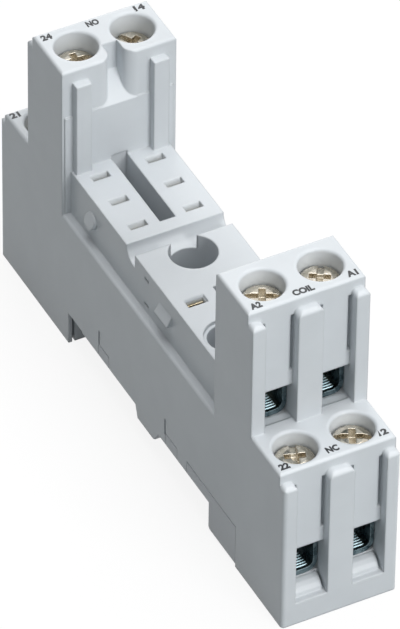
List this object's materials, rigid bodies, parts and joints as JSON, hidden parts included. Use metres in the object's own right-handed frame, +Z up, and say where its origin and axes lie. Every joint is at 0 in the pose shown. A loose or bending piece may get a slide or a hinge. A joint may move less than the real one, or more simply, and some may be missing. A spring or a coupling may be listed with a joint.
{
  "type": "relay socket",
  "caption": "Light grey relay socket for a standard rail, with stepped screw terminal towers at both ends and a relay bay with pin slots between them.",
  "frame": {"origin": "middle of the underside of the socket, on the plane that its two end feet stand on", "axes": "+X across the two poles, to the side of terminals 12, A1, 14 and 11; +Y along the socket from the coil end to the contact end; +Z up, from the rail towards the relay"},
  "size_m": [0.0154, 0.0754, 0.0424],
  "materials": {
    "housing_plastic": "satin light grey moulding",
    "cover_plastic": "satin light grey moulding",
    "latch_plastic": "satin light grey moulding",
    "screw_nickel": "nickel plated",
    "cage_zinc": "blue zinc plated",
    "contact_brass": "bright"
  },
  "bodies": {
    "body": {"housing": "housing_plastic", "base_cover": "cover_plastic", "contact_22": "contact_brass", "contact_12": "contact_brass", "contact_a2": "contact_brass", "contact_a1": "contact_brass", "contact_24": "contact_brass", "contact_14": "contact_brass", "contact_21": "contact_brass", "contact_11": "contact_brass"},
    "latch": {"rail_latch": "latch_plastic"},
    "screw_body_22": {"screw_22": "screw_nickel"},
    "cage_body_22": {"cage_22": "cage_zinc"},
    "screw_body_12": {"screw_12": "screw_nickel"},
    "cage_body_12": {"cage_12": "cage_zinc"},
    "screw_body_a2": {"screw_a2": "screw_nickel"},
    "cage_body_a2": {"cage_a2": "cage_zinc"},
    "screw_body_a1": {"screw_a1": "screw_nickel"},
    "cage_body_a1": {"cage_a1": "cage_zinc"},
    "screw_body_24": {"screw_24": "screw_nickel"},
    "cage_body_24": {"cage_24": "cage_zinc"},
    "screw_body_14": {"screw_14": "screw_nickel"},
    "cage_body_14": {"cage_14": "cage_zinc"},
    "screw_body_21": {"screw_21": "screw_nickel"},
    "cage_body_21": {"cage_21": "cage_zinc"},
    "screw_body_11": {"screw_11": "screw_nickel"},
    "cage_body_11": {"cage_11": "cage_zinc"}
  },
  "joints": [
    {"name": "latch_slide", "type": "slide", "parent": "body", "child": "latch", "axis": [0, 1, 0], "range_m": [0, 0.002], "stiffness_N_per_m": 1500},
    {"name": "screw_turn_22", "type": "hinge", "parent": "body", "child": "screw_body_22", "pos_m": [-0.00382, -0.03285, 0.02245], "axis": [0, 0, -1], "range_deg": [0, 2520.5]},
    {"name": "cage_rise_22", "type": "slide", "parent": "body", "child": "cage_body_22", "axis": [0, 0, 1], "range_m": [0, 0.0035]},
    {"name": "screw_turn_12", "type": "hinge", "parent": "body", "child": "screw_body_12", "pos_m": [0.00382, -0.03285, 0.02245], "axis": [0, 0, -1], "range_deg": [0, 2520.5]},
    {"name": "cage_rise_12", "type": "slide", "parent": "body", "child": "cage_body_12", "axis": [0, 0, 1], "range_m": [0, 0.0035]},
    {"name": "screw_turn_a2", "type": "hinge", "parent": "body", "child": "screw_body_a2", "pos_m": [-0.00382, -0.0239, 0.0406], "axis": [0, 0, -1], "range_deg": [0, 2520.5]},
    {"name": "cage_rise_a2", "type": "slide", "parent": "body", "child": "cage_body_a2", "axis": [0, 0, 1], "range_m": [0, 0.0035]},
    {"name": "screw_turn_a1", "type": "hinge", "parent": "body", "child": "screw_body_a1", "pos_m": [0.00382, -0.0239, 0.0406], "axis": [0, 0, -1], "range_deg": [0, 2520.5]},
    {"name": "cage_rise_a1", "type": "slide", "parent": "body", "child": "cage_body_a1", "axis": [0, 0, 1], "range_m": [0, 0.0035]},
    {"name": "screw_turn_24", "type": "hinge", "parent": "body", "child": "screw_body_24", "pos_m": [-0.00382, 0.02475, 0.0399], "axis": [0, 0, -1], "range_deg": [0, 2520.5]},
    {"name": "cage_rise_24", "type": "slide", "parent": "body", "child": "cage_body_24", "axis": [0, 0, 1], "range_m": [0, 0.0035]},
    {"name": "screw_turn_14", "type": "hinge", "parent": "body", "child": "screw_body_14", "pos_m": [0.00382, 0.02475, 0.0399], "axis": [0, 0, -1], "range_deg": [0, 2520.5]},
    {"name": "cage_rise_14", "type": "slide", "parent": "body", "child": "cage_body_14", "axis": [0, 0, 1], "range_m": [0, 0.0035]},
    {"name": "screw_turn_21", "type": "hinge", "parent": "body", "child": "screw_body_21", "pos_m": [-0.00382, 0.03285, 0.0221], "axis": [0, 0, -1], "range_deg": [0, 2520.5]},
    {"name": "cage_rise_21", "type": "slide", "parent": "body", "child": "cage_body_21", "axis": [0, 0, 1], "range_m": [0, 0.0035]},
    {"name": "screw_turn_11", "type": "hinge", "parent": "body", "child": "screw_body_11", "pos_m": [0.00382, 0.03285, 0.0221], "axis": [0, 0, -1], "range_deg": [0, 2520.5]},
    {"name": "cage_rise_11", "type": "slide", "parent": "body", "child": "cage_body_11", "axis": [0, 0, 1], "range_m": [0, 0.0035]}
  ],
  "couplings": [
    {"joint": "screw_turn_22", "follows": "cage_rise_22", "rad_per_m": 12566},
    {"joint": "screw_turn_12", "follows": "cage_rise_12", "rad_per_m": 12566},
    {"joint": "screw_turn_a2", "follows": "cage_rise_a2", "rad_per_m": 12566},
    {"joint": "screw_turn_a1", "follows": "cage_rise_a1", "rad_per_m": 12566},
    {"joint": "screw_turn_24", "follows": "cage_rise_24", "rad_per_m": 12566},
    {"joint": "screw_turn_14", "follows": "cage_rise_14", "rad_per_m": 12566},
    {"joint": "screw_turn_21", "follows": "cage_rise_21", "rad_per_m": 12566},
    {"joint": "screw_turn_11", "follows": "cage_rise_11", "rad_per_m": 12566}
  ]
}
